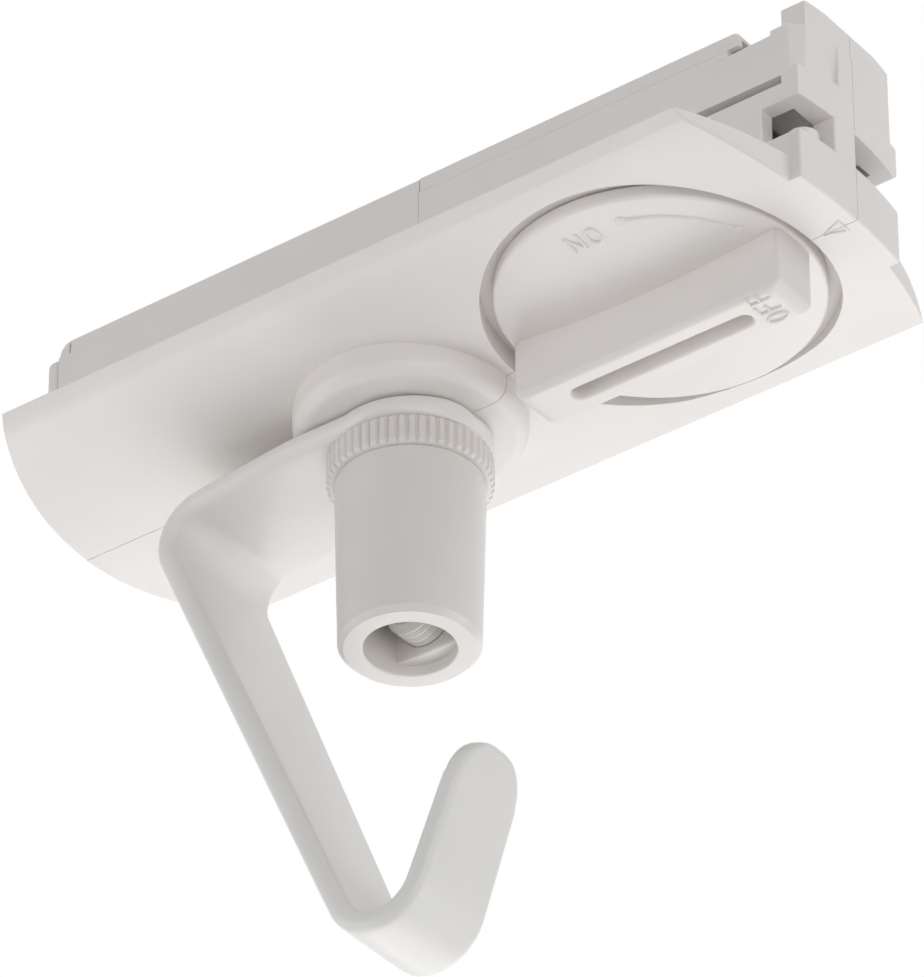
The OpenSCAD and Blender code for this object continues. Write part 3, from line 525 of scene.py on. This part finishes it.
# The words ON and OFF are raised on the knob, in lines cut with a ball cutter as the index's are.
# ON stands on the disc and OFF on the end of the bar, each turned to read from the index side.
bar_face = -0.0081
dome_rise = 0.00095
dome_reach = 0.0134
word_line = 0.00013
word_rise = 0.00022
letter_strokes = {
    "O": [[(0.5 - 0.5*math.sin(step*math.pi/12), 0.5 + 0.5*math.cos(step*math.pi/12)) for step in range(25)]],
    "N": [[(0, 0), (0, 1)], [(0, 1), (1, 0)], [(1, 0), (1, 1)]],
    "F": [[(0, 0), (0, 1)], [(0, 1), (1, 1)], [(0, 0.5), (0.85, 0.5)]],
}


def dome_face(x, y):
    """Height of the disc's domed face."""
    reach = math.hypot(x - knob_x, y)
    return rim_face - dome_rise*(1 - (reach/dome_reach)**2)


def word_strokes(word, centre, width, height, pitch, across, upright):
    """Strokes of a word around a centre, with its letters set along one direction and upright in another."""
    strokes = []
    for place, letter in enumerate(word):
        start = (place - (len(word) - 1)/2)*pitch - width/2
        for stroke in letter_strokes[letter]:
            strokes.append([(centre + across*(start + width*u) + upright*height*(v - 0.5)).to_tuple()
                            for u, v in stroke])
    return strokes


on_strokes = word_strokes("ON", Vector((knob_x, -0.01065)), 0.0011, 0.00165, 0.00175,
                          Vector((-1, 0)), Vector((0, 1)))
off_strokes = word_strokes("OFF", Vector((knob_x + 0.01075, -0.00045)), 0.0009, 0.00185, 0.0015,
                           Vector((0, -1)), Vector((-1, 0)))
on_lines = raised_lines(on_strokes, word_line, word_rise, dome_face)
place_piece(on_lines, "word_on", knob_plastic, "knob")
off_lines = raised_lines(off_strokes, word_line, word_rise, lambda x, y: bar_face)
place_piece(off_lines, "word_off", knob_plastic, "knob")


# A raised arc with a round stud at each end runs from ON towards the index and shows the quarter turn.
arc_radius = 0.01146
arc_from = math.radians(-71)
arc_to = math.radians(-22)
arc_steps = 32
stud_radius = 0.00046
stud_rise = 0.00024
arc_points = []
for step in range(arc_steps + 1):
    angle = arc_from + (arc_to - arc_from)*step/arc_steps
    arc_points.append((knob_x + arc_radius*math.cos(angle), arc_radius*math.sin(angle)))
arc = raised_lines([arc_points], word_line, word_rise, dome_face)
for x, y in (arc_points[0], arc_points[-1]):
    bmesh.ops.create_uvsphere(arc, u_segments=24, v_segments=12, radius=stud_radius,
                              matrix=Matrix.Translation((x, y, dome_face(x, y)))
                              @ Matrix.Diagonal((1, 1, stud_rise/stud_radius, 1)))
bmesh.ops.recalc_face_normals(arc, faces=arc.faces)
place_piece(arc, "turn_arc", knob_plastic, "knob")


# The camera stands below the adapter and looks up at it, as the photograph was taken.
camera_place = Vector((0.2911412, -0.3895100, -0.3596569))
camera_right = Vector((0.80144061, 0.59807399, -0.00067063))
camera_up = Vector((0.34817582, -0.46565580, 0.81359589))
camera_view = Vector((-0.48627826, 0.65228228, 0.58143037))
camera_data = bpy.data.cameras.new("camera")
camera_data.sensor_width = 36
camera_data.lens = 267.426
camera_data.clip_end = 20
camera = bpy.data.objects.new("camera", camera_data)
camera.matrix_world = Matrix.LocRotScale(
    camera_place, Matrix((camera_right, camera_up, -camera_view)).transposed().to_quaternion(), None)
bpy.context.scene.collection.objects.link(camera)
bpy.context.scene.camera = camera


# A plain pale floor lies well below the camera, because the adapter hangs from a ceiling track.
# It glows a little to the camera and in reflections, so it shows pale there and keeps the object's shadow.
floor_level = -0.8
floor_half = 3
floor_glow = 0.5
floor_colour = "F4F3F1"


def background_ray(tree):
    """One where a ray shows the background: straight to the camera, in a reflection or through glass."""
    rays = add_node(tree, "ShaderNodeLightPath").outputs
    seen = add_node(tree, "ShaderNodeMath", {"operation": "MAXIMUM"},
                    {0: rays["Is Camera Ray"], 1: rays["Is Glossy Ray"]}).outputs["Value"]
    return add_node(tree, "ShaderNodeMath", {"operation": "MAXIMUM"},
                    {0: seen, 1: rays["Is Transmission Ray"]}).outputs["Value"]


floor_paint = bpy.data.materials.new("pale_floor_paint")
floor_paint.use_nodes = True
floor_tree = floor_paint.node_tree
floor_shader = floor_tree.nodes["Principled BSDF"]
floor_shader.inputs["Base Color"].default_value = linear_colour(floor_colour)
floor_shader.inputs["Emission Color"].default_value = linear_colour(floor_colour)
floor_shader.inputs["Roughness"].default_value = 0.8
glow = add_node(floor_tree, "ShaderNodeMapRange", {"To Min": 0, "To Max": floor_glow},
                {"Value": background_ray(floor_tree)})
floor_tree.links.new(glow.outputs["Result"], floor_shader.inputs["Emission Strength"])
floor_shape = bmesh.new()
bmesh.ops.create_grid(floor_shape, x_segments=1, y_segments=1, size=floor_half,
                      matrix=Matrix.Translation((0, 0, floor_level)))
floor_mesh = bpy.data.meshes.new("floor")
floor_shape.to_mesh(floor_mesh)
floor_shape.free()
floor_mesh.materials.append(floor_paint)
floor = bpy.data.objects.new("floor", floor_mesh)
bpy.context.scene.collection.objects.link(floor)


# Soft boxes light it from all round, above and below: broad ones further off for an even level, and three
# small ones close under it, which brighten the underside towards the front and the far side.
soft_boxes = (
    ("soft_box_near_rear", (-0.415, -0.415, -0.125), 0.45, 0.82),
    ("soft_box_near_front", (0.415, -0.415, -0.125), 0.45, 0.97),
    ("soft_box_below_far", (0, 0.401, -0.446), 0.45, 0.4),
    ("soft_box_below_rear", (-0.401, 0, -0.446), 0.45, 0.92),
    ("soft_box_small_rear", (-0.116, 0.196, -0.177), 0.2, 0.2),
    ("soft_box_small_far", (0, 0.3, -0.1), 0.2, 0.12),
    ("soft_box_small_front", (0.22, 0.12, -0.16), 0.2, 0.2),
    ("soft_box_above_front", (0.491, 0, 0.344), 0.45, 0.54),
    ("soft_box_overhead", (0, 0, 0.9), 0.7, 2.2),
)
for box_name, box_place, box_size, box_power in soft_boxes:
    box_data = bpy.data.lights.new(box_name, "AREA")
    box_data.shape = "SQUARE"
    box_data.size = box_size
    box_data.energy = box_power
    soft_box = bpy.data.objects.new(box_name, box_data)
    soft_box.matrix_world = Matrix.LocRotScale(
        Vector(box_place), (-Vector(box_place)).to_track_quat("-Z", "Y"), None)
    bpy.context.scene.collection.objects.link(soft_box)


# The room is an even pale grey that shows as white behind the object and in its reflections.
ambient_strength = 0.25
bpy.context.scene.view_settings.view_transform = "Standard"
world = bpy.data.worlds.new("studio")
bpy.context.scene.world = world
world.use_nodes = True
world.node_tree.nodes.clear()
ambient = add_node(world.node_tree, "ShaderNodeBackground",
                   {"Color": [1, 1, 1, 1], "Strength": ambient_strength})
backdrop = add_node(world.node_tree, "ShaderNodeBackground", {"Color": [1, 1, 1, 1], "Strength": 1})
room = add_node(world.node_tree, "ShaderNodeMixShader", links={
    0: background_ray(world.node_tree), 1: ambient.outputs["Background"], 2: backdrop.outputs["Background"]})
add_node(world.node_tree, "ShaderNodeOutputWorld", links={"Surface": room.outputs["Shader"]})
